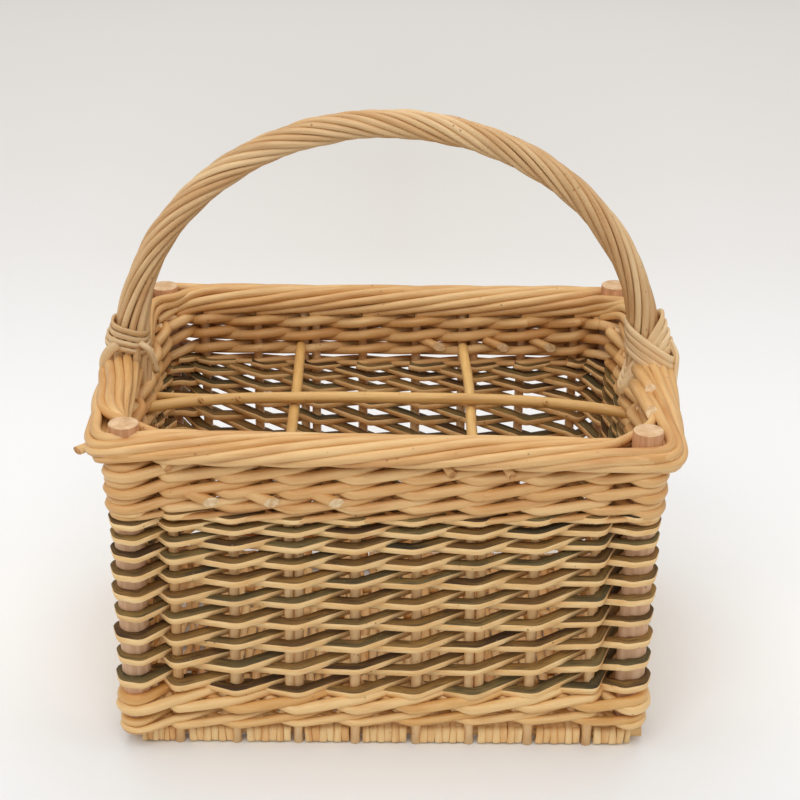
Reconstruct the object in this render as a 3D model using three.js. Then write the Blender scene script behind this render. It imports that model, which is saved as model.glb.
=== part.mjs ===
// Willow bottle basket: an oblong woven body for six bottles, with divider rods and a roped bow handle.
// Millimetres. X runs along the long side, Y from the front to the back, Z up from the table.
import * as THREE from 'three';

// Clearance left between pieces that press on each other in the real basket
const fit = 0.35;

// Body, measured between the centres of the corner posts
const bodyLength = 322;
const bodyWidth = 231;
const postRadius = 9.5;
const postTop = 230;
const postChamfer = 1.2;

// Upright stakes between the posts
const stakeRadius = 3.3;
const stakeTipRadius = 2.8;
const cornerGap = 28;
const longStakeCount = 8;
const sideStakeCount = 5;

// Base: sticks along X, woven over from front to back
const baseStickRadius = 3.6;
const baseWeaverThickness = 2.8;
const baseStickCount = 7;
const baseStickOverhang = 6;
const baseWebThickness = 4.4;

// Waling: round rods that pass in front of two uprights and behind one
const waleRodRadius = 3;
const lowerWaleRows = 4;
const lowerWalePitch = 7.8;
const upperWaleRows = 4;
const upperWalePitch = 7.9;

// Siding: rows of cleft rods, thick at the foot and thin at the top
const sidingRows = 10;
const sidingFirstPitch = 17;
const sidingPitchDrop = 0.944;
const cleftDepthShare = 0.6;
const weaverSpreadShare = 0.24;
const cornerSpread = 3;

// Border: an outer band of rods rolled round the rim, and an inner band over the stake tips
const borderHeight = 23;
const borderDepth = 12.4;
const sideBorderDepth = 22;
const borderInnerRadius = 6.3;
const borderGrooveShare = 0.84;
const borderBeak = 24;
const borderSideBow = 7;
const borderTurns = 3;

// Divider rods that part the bottles
const crossRodRadius = 3.5;
const crossRodLift = 15.1;
const longRodRadius = 4;
const longRodDroop = 3.8;
const spareRodRadius = 2.6;
const spareRodReachShare = 0.42;

// Handle: a bow rod whose ends stand in the side walls, roped over with thinner rods
const bowRadius = 5;
const bowSides = 6;
const bowSplay = 8;
const bowSpring = 235;
const bowTop = 387.5;
const ropingRadius = 9.2;
const ropingRods = 9;
const ropingGrooveShare = 0.86;
const ropingTurns = 3.4;
const ropingSteps = 30;
const bindingBands = 4;
const bindingBandHeight = 5;
const bindingThickness = 2.4;
const crossBindingRise = 10;
const crossBindingSlack = 0.9;

const buffWillow = 0xdcb273;
const paleWillow = 0xd2b887;
const barkWillow = 0x6f5d43;
const peeledPost = 0xc09470;
const dividerWillow = 0xdab072;

const basket = new THREE.Group();

function addPiece(parent, name, geometry, colour, roughness) {
  const material = new THREE.MeshStandardMaterial({ color: colour, roughness, metalness: 0 });
  const mesh = new THREE.Mesh(geometry, material);
  mesh.name = name;
  parent.add(mesh);
  return mesh;
}

// A skin of triangles over rings of points, each ring seen anticlockwise along the travel
function skinRings(rings, closed) {
  const count = rings[0].length;
  const triangles = [];
  const spans = closed ? rings.length : rings.length - 1;
  for (let i = 0; i < spans; i += 1) {
    const start = i * count;
    const end = ((i + 1) % rings.length) * count;
    for (let k = 0; k < count; k += 1) {
      const next = (k + 1) % count;
      triangles.push(start + k, end + k, start + next);
      triangles.push(start + next, end + k, end + next);
    }
  }
  return triangles;
}

function geometryFrom(points, triangles) {
  const geometry = new THREE.BufferGeometry();
  geometry.setAttribute('position', new THREE.Float32BufferAttribute(points.flatMap((p) => p.toArray()), 3));
  geometry.setIndex(triangles);
  geometry.computeVertexNormals();
  return geometry;
}

// A closed loop of one cross-section: section points are [outward, upward] from the route
function closedLoop(route, sectionAt) {
  const count = route.length;
  const rings = route.map((here, i) => {
    const before = route[(i + count - 1) % count];
    const after = route[(i + 1) % count];
    const arrive = new THREE.Vector2(here.x - before.x, here.y - before.y).normalize();
    const leave = new THREE.Vector2(after.x - here.x, after.y - here.y).normalize();
    const along = arrive.clone().add(leave).normalize();
    const mitre = 1 / along.dot(leave);
    const outward = new THREE.Vector3(along.y, -along.x, 0).multiplyScalar(mitre);
    return sectionAt(i).map(([out, up]) => here.clone().addScaledVector(outward, out)
      .add(new THREE.Vector3(0, 0, up)));
  });
  return geometryFrom(rings.flat(), skinRings(rings, true));
}

// Uprights in order round the wall, anticlockwise from above, from the front left post
const halfLength = bodyLength / 2;
const halfWidth = bodyWidth / 2;
const uprights = [];

function addWall(cornerX, cornerY, alongX, alongY, length, stakeCount, stakeKind) {
  uprights.push({
    kind: 'post',
    radius: postRadius,
    centre: new THREE.Vector2(cornerX, cornerY),
    outward: new THREE.Vector2(Math.sign(cornerX), Math.sign(cornerY)).normalize(),
  });
  const pitch = (length - cornerGap - cornerGap) / (stakeCount - 1);
  for (let i = 0; i < stakeCount; i += 1) {
    const run = cornerGap + pitch * i;
    const kind = stakeKind(i);
    uprights.push({
      kind,
      radius: kind === 'bow' ? bowRadius : stakeRadius,
      centre: new THREE.Vector2(cornerX + alongX * run, cornerY + alongY * run),
      outward: new THREE.Vector2(alongY, -alongX),
      pitch,
    });
  }
}

const middleSideStake = (sideStakeCount - 1) / 2;
const onlyStakes = () => 'stake';
const bowAtMiddle = (i) => (i === middleSideStake ? 'bow' : 'stake');
addWall(-halfLength, -halfWidth, 1, 0, bodyLength, longStakeCount, onlyStakes);
addWall(halfLength, -halfWidth, 0, 1, bodyWidth, sideStakeCount, bowAtMiddle);
addWall(halfLength, halfWidth, -1, 0, bodyLength, longStakeCount, onlyStakes);
addWall(-halfLength, halfWidth, 0, -1, bodyWidth, sideStakeCount, bowAtMiddle);

// Two points that hold a weaver off one upright, on its outer (+1) or inner (-1) side
function pairBeside(upright, side, halfDepth) {
  const reach = side * (upright.radius + fit + halfDepth);
  const spread = upright.kind === 'post' ? cornerSpread : upright.pitch * weaverSpreadShare;
  const tangent = new THREE.Vector2(-upright.outward.y, upright.outward.x);
  return [-spread, spread].map((slide) => upright.centre.clone()
    .addScaledVector(upright.outward, reach).addScaledVector(tangent, slide));
}

// Three points that carry a weaver round the outside of a corner post, taut between its neighbours
function arcRoundPost(post, from, to, halfDepth) {
  const reach = post.radius + fit + halfDepth;
  const arriving = post.centre.clone().sub(from);
  const leaving = to.clone().sub(post.centre);
  const headingIn = arriving.angle() - Math.asin(reach / arriving.length());
  const headingOut = leaving.angle() + Math.asin(reach / leaving.length());
  const turn = THREE.MathUtils.euclideanModulo(headingOut - headingIn, Math.PI * 2);
  const points = 3;
  const step = turn / points;
  return Array.from({ length: points }, (_, k) => {
    const bearing = headingIn - Math.PI / 2 + step * (k + 0.5);
    const radius = reach / Math.cos(step / 2);
    return post.centre.clone().add(new THREE.Vector2(Math.cos(bearing), Math.sin(bearing)).multiplyScalar(radius));
  });
}

// The route of one weaver: sides says on which side of each upright it passes, lap after lap.
// It climbs by the rise on each run outside the wall and falls by it on each run inside.
function weaverRoute(sides, halfDepth, height, rise) {
  const total = sides.length;
  const sideOf = (s) => sides[THREE.MathUtils.euclideanModulo(s, total)];
  const uprightOf = (s) => uprights[THREE.MathUtils.euclideanModulo(s, uprights.length)];
  let first = 0;
  while (sideOf(first) === sideOf(first - 1)) first += 1;

  const runs = [];
  for (let s = first; s < first + total; s += 1) {
    const side = sideOf(s);
    const here = uprightOf(s);
    const startsRun = side !== sideOf(s - 1);
    const endsRun = side !== sideOf(s + 1);
    if (startsRun) runs.push({ side, points: [] });
    const points = runs[runs.length - 1].points;
    if (here.kind === 'post' && side > 0) {
      const from = pairBeside(uprightOf(s - 1), sideOf(s - 1), halfDepth)[1];
      const to = pairBeside(uprightOf(s + 1), sideOf(s + 1), halfDepth)[0];
      points.push(...arcRoundPost(here, from, to, halfDepth));
    } else {
      const [enter, leave] = pairBeside(here, side, halfDepth);
      if (startsRun || here.kind === 'post') points.push(enter);
      if (endsRun || here.kind === 'post') points.push(leave);
    }
  }

  return runs.flatMap(({ side, points }) => {
    const travelled = points.map((_, i) => points.slice(1, i + 1)
      .reduce((sum, point, k) => sum + point.distanceTo(points[k]), 0));
    const length = travelled[travelled.length - 1];
    return points.map((point, i) => {
      const climb = side * (travelled[i] / length - 0.5) * rise;
      return new THREE.Vector3(point.x, point.y, height + climb);
    });
  });
}

// Corner posts stand on the base and rise through the border
const baseHeight = 2 * (baseStickRadius + baseWeaverThickness);
const postFoot = baseHeight + fit;

function postGeometry() {
  const profile = [
    [0, postFoot], [postRadius, postFoot], [postRadius, postTop - postChamfer],
    [postRadius - postChamfer, postTop], [0, postTop],
  ].map(([radius, height]) => new THREE.Vector2(radius, height));
  return new THREE.LatheGeometry(profile, 12).rotateX(Math.PI / 2);
}

const cornerNames = ['front_left', 'front_right', 'back_right', 'back_left'];
const posts = uprights.filter(({ kind }) => kind === 'post');
posts.forEach(({ centre }, i) => {
  const post = addPiece(basket, `corner_post_${cornerNames[i]}`, postGeometry(), peeledPost, 0.75);
  post.position.set(centre.x, centre.y, 0);
});

// Heights of the woven zones, one standing on the other
const lowerWaleFoot = baseHeight + fit;
const sidingFoot = lowerWaleFoot + lowerWaleRows * lowerWalePitch;
const sidingPitches = Array.from({ length: sidingRows }, (_, row) => sidingFirstPitch - sidingPitchDrop * row);
const sidingTop = sidingPitches.reduce((sum, pitch) => sum + pitch, sidingFoot);
const borderFoot = sidingTop + upperWaleRows * upperWalePitch;
const borderCentre = borderFoot + fit + borderHeight / 2;
const borderInnerCentre = borderFoot + borderHeight - borderInnerRadius;
const stakeTop = borderInnerCentre - borderInnerRadius - fit;

// Stakes run from the table to the underside of the border
const stakeGroup = new THREE.Group();
basket.add(stakeGroup);
const wallNames = ['front', 'right', 'back', 'left'];
let wall = -1;
let stakeNumber = 0;
uprights.forEach(({ kind, centre }) => {
  if (kind === 'post') {
    wall += 1;
    stakeNumber = 0;
    return;
  }
  if (kind === 'bow') return;
  stakeNumber += 1;
  const geometry = new THREE.CylinderGeometry(stakeTipRadius, stakeRadius, stakeTop, 6).rotateX(Math.PI / 2);
  const stake = addPiece(stakeGroup, `stake_${wallNames[wall]}_${stakeNumber}`, geometry, buffWillow, 0.7);
  stake.position.set(centre.x, centre.y, stakeTop / 2);
});

// Waling rows: each passes in front of two uprights and behind one, a step further in every row
const waleSides = 4;
const waleSection = Array.from({ length: waleSides }, (_, k) => {
  const angle = (k / waleSides) * Math.PI * 2;
  return [waleRodRadius * Math.cos(angle), waleRodRadius * Math.sin(angle)];
});

function waleRow(name, row, height, pitch) {
  const sides = uprights.map((_, i) => ((i + 3 - (row % 3)) % 3 === 0 ? -1 : 1));
  const rise = pitch - 2 * waleRodRadius - fit;
  const route = weaverRoute(sides, waleRodRadius, height, rise);
  addPiece(basket, name, closedLoop(route, () => waleSection), buffWillow, 0.65);
}

for (let row = 0; row < lowerWaleRows; row += 1) {
  waleRow(`lower_wale_${row + 1}`, row, lowerWaleFoot + (row + 0.5) * lowerWalePitch, lowerWalePitch);
}
for (let row = 0; row < upperWaleRows; row += 1) {
  waleRow(`upper_wale_${row + 1}`, row, sidingTop + (row + 0.5) * upperWalePitch, upperWalePitch);
}

// Siding rows: a cleft rod goes round twice, before and behind the uprights in turn, so that each
// upright has a stroke on both sides, and the strokes cross between the uprights.
const sidingSides = Array.from({ length: 2 * uprights.length }, (_, s) => {
  const lap = Math.floor(s / uprights.length);
  return (s + lap) % 2 === 0 ? 1 : -1;
});
let sidingHeight = sidingFoot;
sidingPitches.forEach((pitch, row) => {
  const cleftHeight = pitch / 2 - fit;
  const halfDepth = (cleftHeight * cleftDepthShare) / 2;
  const wedge = [[halfDepth, cleftHeight / 2], [-halfDepth, cleftHeight / 2], [0, -cleftHeight / 2]];
  const route = weaverRoute(sidingSides, halfDepth, sidingHeight + pitch / 2, pitch / 2);
  addPiece(basket, `siding_row_${row + 1}`, closedLoop(route, () => wedge), barkWillow, 0.7);
  sidingHeight += pitch;
});

// Border bands: a lobed section turned steadily along a smooth route round the rim
function rolledBand(controls, halfDepths, halfHeight, turns, rods) {
  const curve = new THREE.CatmullRomCurve3(controls, true, 'centripetal');
  const count = controls.length * 2;
  const route = Array.from({ length: count }, (_, i) => curve.getPoint(i / count));
  const sides = rods * 2;
  return closedLoop(route, (i) => {
    const before = halfDepths[Math.floor(i / 2)];
    const after = halfDepths[Math.ceil(i / 2) % halfDepths.length];
    const halfDepth = (before + after) / 2;
    return Array.from({ length: sides }, (_, k) => {
      const bulge = k % 2 === 0 ? 1 : borderGrooveShare;
      const angle = (k / sides + (turns * i) / count) * Math.PI * 2;
      return [halfDepth * bulge * Math.cos(angle), halfHeight * bulge * Math.sin(angle)];
    });
  });
}

// The outer band hangs outside the posts and draws out to a beak at each corner
const outerControls = [];
const outerHalfDepths = [];
const innerControls = [];
const innerHalfDepths = [];
const borderHalfDepth = borderDepth / 2;
const sideBorderHalfDepth = sideBorderDepth / 2;
const outerOffset = borderInnerRadius + fit + borderHalfDepth;
const sideOuterOffset = borderInnerRadius + fit + sideBorderHalfDepth;

function addControl(list, depths, upright, offset, height, halfDepth) {
  const spot = upright.centre.clone().addScaledVector(upright.outward, offset);
  list.push(new THREE.Vector3(spot.x, spot.y, height));
  depths.push(halfDepth);
}

uprights.forEach((upright, i) => {
  if (upright.kind === 'post') {
    addControl(outerControls, outerHalfDepths, upright, borderBeak, borderCentre, borderHalfDepth);
    addControl(innerControls, innerHalfDepths, upright,
      -(postRadius + fit + borderInnerRadius), borderInnerCentre, borderInnerRadius);
    return;
  }
  if (upright.kind === 'bow') {
    addControl(outerControls, outerHalfDepths, upright, sideOuterOffset + borderSideBow,
      borderCentre, sideBorderHalfDepth);
    addControl(innerControls, innerHalfDepths, upright,
      -(bowRadius + fit + borderInnerRadius), borderInnerCentre, borderInnerRadius);
    return;
  }
  const neighbours = [uprights[i - 1], uprights[(i + 1) % uprights.length]];
  const besidePost = neighbours.some(({ kind }) => kind === 'post');
  const onSide = Math.abs(upright.outward.x) > Math.abs(upright.outward.y);
  const wallHalfDepth = onSide ? sideBorderHalfDepth : borderHalfDepth;
  const halfDepth = besidePost ? (wallHalfDepth + borderHalfDepth) / 2 : wallHalfDepth;
  addControl(outerControls, outerHalfDepths, upright, onSide ? sideOuterOffset : outerOffset,
    borderCentre, halfDepth);
  addControl(innerControls, innerHalfDepths, upright, 0, borderInnerCentre, borderInnerRadius);
});

addPiece(basket, 'border_outer',
  rolledBand(outerControls, outerHalfDepths, borderHeight / 2, -borderTurns, 4), buffWillow, 0.6);
addPiece(basket, 'border_inner',
  rolledBand(innerControls, innerHalfDepths, borderInnerRadius, -borderTurns, 3), buffWillow, 0.6);

// Base: sticks along X carried in a woven mat that rises over each of them
const matHalfWidth = halfWidth - stakeRadius - fit;
const stickCentre = baseHeight / 2;
const ribRadius = baseHeight / 2;
const stickSpan = 2 * (matHalfWidth - ribRadius);
const stickPitch = stickSpan / (baseStickCount - 1);
const webRise = baseWebThickness / 2;

function matOutline() {
  const ribPoints = (middle, direction) => {
    const flat = ribRadius * Math.tan(Math.PI / 8);
    const web = Math.min(stickPitch / 2, ribRadius + flat);
    return [
      [middle - web, stickCentre + direction * webRise],
      [middle - flat, stickCentre + direction * ribRadius],
      [middle + flat, stickCentre + direction * ribRadius],
      [middle + web, stickCentre + direction * webRise],
    ];
  };
  const top = [];
  const bottom = [];
  for (let i = 0; i < baseStickCount; i += 1) {
    const middle = -stickSpan / 2 + i * stickPitch;
    top.push(...ribPoints(middle, 1));
    bottom.push(...ribPoints(middle, -1));
  }
  top[0][0] = -matHalfWidth;
  bottom[0][0] = -matHalfWidth;
  top[top.length - 1][0] = matHalfWidth;
  bottom[bottom.length - 1][0] = matHalfWidth;
  return [...bottom, ...top.reverse()].map(([y, z]) => new THREE.Vector2(y, z));
}

const matHalfLength = halfLength - bowRadius - fit;
const matShape = new THREE.Shape(matOutline());
[-stickSpan / 2, stickSpan / 2].forEach((middle) => {
  const bore = new THREE.Path();
  bore.absarc(middle, stickCentre, baseStickRadius + fit, 0, Math.PI * 2);
  matShape.holes.push(bore);
});
const matGeometry = new THREE.ExtrudeGeometry(matShape, {
  depth: 2 * matHalfLength, bevelEnabled: false, curveSegments: 10,
});
matGeometry.rotateX(Math.PI / 2).rotateZ(Math.PI / 2).translate(-matHalfLength, 0, 0);
addPiece(basket, 'base_mat', matGeometry, buffWillow, 0.75);

[['front', -1], ['back', 1]].forEach(([name, direction]) => {
  const length = bodyLength + 2 * baseStickOverhang;
  const geometry = new THREE.CylinderGeometry(baseStickRadius, baseStickRadius, length, 10).rotateZ(Math.PI / 2);
  const stick = addPiece(basket, `base_stick_${name}`, geometry, buffWillow, 0.75);
  stick.position.set(0, (direction * stickSpan) / 2, stickCentre);
});

// Round rod along a smooth route
function rod(points, radius, steps, sides) {
  const outline = new THREE.Shape(Array.from({ length: sides }, (_, k) => {
    const angle = (k / sides) * Math.PI * 2;
    return new THREE.Vector2(radius * Math.cos(angle), radius * Math.sin(angle));
  }));
  const path = new THREE.CatmullRomCurve3(points);
  return new THREE.ExtrudeGeometry(outline, { steps, extrudePath: path, bevelEnabled: false });
}

const crossRodHeight = sidingTop + crossRodLift;

// Two cross rods reach from wall to wall, each lying beside the third stake from its end of the front
const crossRodSpots = [['left', uprights[3]], ['right', uprights[6]]].map(([name, stake]) => (
  { name, x: stake.centre.x - stakeRadius - fit - crossRodRadius }));
crossRodSpots.forEach(({ name, x }) => {
  const geometry = rod([
    new THREE.Vector3(x, -halfWidth, crossRodHeight),
    new THREE.Vector3(x, 0, crossRodHeight),
    new THREE.Vector3(x, halfWidth, crossRodHeight),
  ], crossRodRadius, 4, 8);
  addPiece(basket, `cross_rod_${name}`, geometry, dividerWillow, 0.6);
});

// The long rod rides over both cross rods, with its ends in front of the bow
const bowFlat = bowRadius * Math.cos(Math.PI / bowSides);
const besideBow = bowFlat + fit + longRodRadius;
const longRodCrest = crossRodHeight + crossRodRadius + fit + longRodRadius;
const longRodEndHeight = longRodCrest - longRodDroop;
addPiece(basket, 'long_rod', rod([
  new THREE.Vector3(-halfLength, -besideBow, longRodEndHeight),
  ...crossRodSpots.map(({ x }) => new THREE.Vector3(x, 0, longRodCrest)),
  new THREE.Vector3(halfLength, -besideBow, longRodEndHeight),
], longRodRadius, 12, 8), dividerWillow, 0.6);

// A thin spare rod starts behind the bow on the left and runs in beside the long rod
const spareRodReach = (halfLength + crossRodSpots[0].x) * spareRodReachShare;
addPiece(basket, 'spare_rod', rod([
  new THREE.Vector3(-halfLength, bowFlat + fit + spareRodRadius, longRodEndHeight),
  new THREE.Vector3(spareRodReach - halfLength, spareRodRadius, longRodEndHeight),
], spareRodRadius, 4, 6), dividerWillow, 0.6);

// The bow: straight legs in the side walls, splayed at the rim, then a full arch over the basket
const bowHalfSpan = halfLength + bowSplay;

class BowArch extends THREE.Curve {
  getPoint(t, target = new THREE.Vector3()) {
    const angle = Math.PI * (1 - t);
    return target.set(bowHalfSpan * Math.cos(angle), 0, bowSpring + (bowTop - bowSpring) * Math.sin(angle));
  }
}

const bowLeg = [[halfLength, 0], [halfLength, borderFoot - fit], [(halfLength + bowHalfSpan) / 2, borderCentre]];
const archPoints = new BowArch().getSpacedPoints(ropingSteps);
const bowRoute = [
  ...bowLeg.map(([x, z]) => new THREE.Vector3(-x, 0, z)),
  ...archPoints,
  ...bowLeg.reverse().map(([x, z]) => new THREE.Vector3(x, 0, z)),
];

// Ring of points across a route in the XZ plane; section points are [away from the arch centre, along Y]
function ringAcross(route, i, sectionPoints) {
  const here = route[i];
  const arrive = here.clone().sub(route[Math.max(i - 1, 0)]).normalize();
  const leave = route[Math.min(i + 1, route.length - 1)].clone().sub(here).normalize();
  const along = arrive.add(leave).normalize();
  const outward = new THREE.Vector3(-along.z, 0, along.x);
  return sectionPoints.map(([out, across]) => here.clone()
    .addScaledVector(outward, out).add(new THREE.Vector3(0, across, 0)));
}

function circlePoints(radius, sides) {
  return Array.from({ length: sides }, (_, k) => {
    const angle = (k / sides) * Math.PI * 2;
    return [radius * Math.cos(angle), radius * Math.sin(angle)];
  });
}

// A tube along a route, with a bore if boreSection is given, and flat ends
function sleeve(route, outerSectionAt, boreSection) {
  const outerRings = route.map((_, i) => ringAcross(route, i, outerSectionAt(i)));
  const boreRings = boreSection ? route.map((_, i) => ringAcross(route, i, boreSection)) : [];
  const outerCount = outerRings[0].length * route.length;
  const triangles = skinRings(outerRings, false);
  if (boreSection) {
    const boreTriangles = skinRings(boreRings, false).map((index) => index + outerCount);
    for (let i = 0; i < boreTriangles.length; i += 3) {
      triangles.push(boreTriangles[i], boreTriangles[i + 2], boreTriangles[i + 1]);
    }
  }
  [0, route.length - 1].forEach((end) => {
    const flat = (list) => list.map(([out, across]) => new THREE.Vector2(out, across));
    const outer = outerSectionAt(end);
    const faces = THREE.ShapeUtils.triangulateShape(flat(outer), boreSection ? [flat(boreSection)] : []);
    const indexOf = (k) => (k < outer.length
      ? end * outer.length + k
      : outerCount + end * boreSection.length + (k - outer.length));
    faces.forEach(([a, b, c]) => {
      const order = end === 0 ? [a, b, c] : [a, c, b];
      triangles.push(...order.map(indexOf));
    });
  });
  return geometryFrom([...outerRings.flat(), ...boreRings.flat()], triangles);
}

const bowSection = circlePoints(bowRadius, bowSides);
addPiece(basket, 'handle_bow', sleeve(bowRoute, () => bowSection), paleWillow, 0.65);

// The roping: thin rods laid round the bow side by side in a long spiral
const ropingFoot = borderFoot + fit + borderHeight + fit;
const legHead = bowRoute[bowLeg.length - 1];
const footShare = (ropingFoot - legHead.z) / (archPoints[0].z - legHead.z);
const ropingStart = legHead.clone().lerp(archPoints[0], footShare);
const ropingEnd = ropingStart.clone().setX(-ropingStart.x);
const ropingRoute = [ropingStart, ...archPoints, ropingEnd];
const boreSection = circlePoints(bowRadius + fit, bowSides);

function ropingSection(i) {
  const sides = ropingRods * 2;
  return Array.from({ length: sides }, (_, k) => {
    const radius = ropingRadius * (k % 2 === 0 ? 1 : ropingGrooveShare);
    const angle = (k / sides - (ropingTurns * i) / ropingRoute.length) * Math.PI * 2;
    return [radius * Math.cos(angle), radius * Math.sin(angle)];
  });
}
addPiece(basket, 'handle_roping', sleeve(ropingRoute, ropingSection, boreSection), paleWillow, 0.65);

// The spot a given distance up the handle from the foot of the roping on the left
function upHandle(distance) {
  let left = distance;
  for (let i = 1; i < ropingRoute.length; i += 1) {
    const span = ropingRoute[i].distanceTo(ropingRoute[i - 1]);
    if (left <= span) return ropingRoute[i - 1].clone().lerp(ropingRoute[i], left / span);
    left -= span;
  }
  return ropingRoute[ropingRoute.length - 1].clone();
}

// Left foot: flat turns of split willow one above the other
const bindingSides = 10;
const insideBinding = (ropingRadius + fit) / Math.cos(Math.PI / bindingSides);
const bindingStations = Array.from({ length: 2 * bindingBands + 1 }, (_, i) => (
  upHandle(bindingThickness + fit + (i * bindingBandHeight) / 2)));
const bindingBulge = (i) => (i % 2 === 1 ? bindingThickness : bindingThickness / 2);
addPiece(basket, 'handle_binding_left', sleeve(
  bindingStations,
  (i) => circlePoints(insideBinding + bindingBulge(i), bindingSides),
  circlePoints(insideBinding, bindingSides),
), buffWillow, 0.65);

// Right foot: two slanting turns that cross on the front and the back, one over the other
function slantingTurn(innerRadius, slant) {
  const radius = innerRadius + bindingThickness / 2;
  const halfBand = bindingBandHeight;
  const route = Array.from({ length: bindingSides }, (_, k) => {
    const angle = (k / bindingSides) * Math.PI * 2;
    const rise = slant * crossBindingRise * Math.cos(angle);
    return new THREE.Vector3(radius * Math.cos(angle), radius * Math.sin(angle), rise);
  });
  const edge = bindingThickness / 2;
  return closedLoop(route, () => [[edge, -halfBand], [edge, halfBand], [-edge, halfBand], [-edge, -halfBand]]);
}

const crossReach = crossBindingRise + bindingBandHeight + bindingThickness;
const crossSpot = upHandle(crossReach);
const crossAim = upHandle(2 * crossReach).sub(ropingStart);
const insideUnder = insideBinding + crossBindingSlack;
[['under', insideUnder, 1], ['over', insideUnder + bindingThickness + fit, -1]]
  .forEach(([name, innerRadius, slant]) => {
    const turn = addPiece(basket, `handle_binding_right_${name}`,
      slantingTurn(innerRadius, slant), buffWillow, 0.65);
    turn.position.set(-crossSpot.x, 0, crossSpot.z);
    turn.rotation.y = -Math.atan2(crossAim.x, crossAim.z);
  });

export default basket;
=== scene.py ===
import math
import random

import bpy
import numpy as np
from mathutils import Matrix, Vector


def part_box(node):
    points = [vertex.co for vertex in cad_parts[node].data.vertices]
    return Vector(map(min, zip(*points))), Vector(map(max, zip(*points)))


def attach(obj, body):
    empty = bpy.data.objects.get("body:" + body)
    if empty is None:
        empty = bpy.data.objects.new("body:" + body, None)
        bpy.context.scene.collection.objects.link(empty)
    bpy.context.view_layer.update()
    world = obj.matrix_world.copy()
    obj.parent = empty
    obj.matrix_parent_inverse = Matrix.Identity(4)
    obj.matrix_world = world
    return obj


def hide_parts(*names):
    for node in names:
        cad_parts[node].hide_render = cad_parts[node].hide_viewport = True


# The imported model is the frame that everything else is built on
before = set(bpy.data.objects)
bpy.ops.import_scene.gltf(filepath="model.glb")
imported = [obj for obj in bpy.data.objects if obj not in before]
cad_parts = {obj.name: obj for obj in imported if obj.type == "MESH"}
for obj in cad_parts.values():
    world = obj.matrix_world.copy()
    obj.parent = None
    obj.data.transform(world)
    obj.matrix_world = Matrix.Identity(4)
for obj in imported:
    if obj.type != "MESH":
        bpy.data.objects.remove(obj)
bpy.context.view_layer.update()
MM = 0.001
UP = Vector((0, 0, 1))
luck = random.Random(26)


def scattered(reach):
    """A chance distance, up to the reach to either side."""
    return luck.uniform(-reach, reach)


# Materials

class Wire:
    """A shader socket that takes part in sums."""

    def __init__(self, recipe, socket):
        self.recipe = recipe
        self.socket = socket

    def sum_with(self, operation, first, second):
        node = self.recipe.node("ShaderNodeMath", {"operation": operation}, {0: first, 1: second})
        return Wire(self.recipe, node.outputs[0])

    def __add__(self, other):
        return self.sum_with("ADD", self, other)

    def __radd__(self, other):
        return self.sum_with("ADD", other, self)

    def __sub__(self, other):
        return self.sum_with("SUBTRACT", self, other)

    def __rsub__(self, other):
        return self.sum_with("SUBTRACT", other, self)

    def __mul__(self, other):
        return self.sum_with("MULTIPLY", self, other)

    def __rmul__(self, other):
        return self.sum_with("MULTIPLY", other, self)

    def __gt__(self, other):
        return self.sum_with("GREATER_THAN", self, other)

    def away_from(self, other):
        gap = self - other
        return gap.sum_with("ABSOLUTE", gap, 0.0)

    def spread(self, low, high):
        settings = {"clamp": True}
        node = self.recipe.node("ShaderNodeMapRange", settings, {0: self, 1: low, 2: high, 3: 0.0, 4: 1.0})
        return Wire(self.recipe, node.outputs[0])


class Recipe:
    """One material and the nodes in it."""

    def __init__(self, name, roughness, coat=0.0):
        self.material = bpy.data.materials.new(name)
        self.material.use_nodes = True
        self.tree = self.material.node_tree
        self.shader = self.tree.nodes["Principled BSDF"]
        self.shader.inputs["Roughness"].default_value = roughness
        self.shader.inputs["Coat Weight"].default_value = coat
        self.shader.inputs["Coat Roughness"].default_value = 0.35

    def feed(self, socket, value):
        if isinstance(value, Wire):
            self.tree.links.new(value.socket, socket)
        else:
            socket.default_value = value

    def node(self, kind, settings, sockets):
        node = self.tree.nodes.new(kind)
        for key, value in settings.items():
            setattr(node, key, value)
        for key, value in sockets.items():
            self.feed(node.inputs[key], value)
        return node

    def value(self, kind, settings, sockets, output=0):
        return Wire(self, self.node(kind, settings, sockets).outputs[output])

    def blend(self, share, first, second):
        settings = {"data_type": "RGBA", "clamp_factor": True}
        node = self.node("ShaderNodeMix", settings, {0: share, 6: first, 7: second})
        return Wire(self, node.outputs[2])

    def colour(self, value):
        self.feed(self.shader.inputs["Base Color"], value)

    def bump(self, height, strength, distance):
        sockets = {"Height": height, "Strength": strength, "Distance": distance}
        node = self.node("ShaderNodeBump", {}, sockets)
        self.tree.links.new(node.outputs["Normal"], self.shader.inputs["Normal"])


def linear(hexed):
    """A written colour as the renderer's linear red, green, blue and alpha."""
    parts = [int(hexed[i:i + 2], 16) / 255 for i in (0, 2, 4)]
    return tuple(p / 12.92 if p <= 0.04045 else ((p + 0.055) / 1.055) ** 2.4 for p in parts) + (1.0,)


def rod_places(recipe):
    """Where a point lies on its rod: metres along it, share of the way round it, and the rod's chances."""
    uv = recipe.value("ShaderNodeUVMap", {"uv_map": "rod"}, {})
    split = recipe.node("ShaderNodeSeparateXYZ", {}, {0: uv})
    chance = recipe.value("ShaderNodeAttribute", {"attribute_name": "chance"}, {}, "Color")
    parts = recipe.node("ShaderNodeSeparateColor", {}, {0: chance})
    along, round_it = (Wire(recipe, split.outputs[i]) for i in (0, 1))
    first, second, third = (Wire(recipe, parts.outputs[i]) for i in range(3))
    return along, round_it, first, second, third


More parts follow.
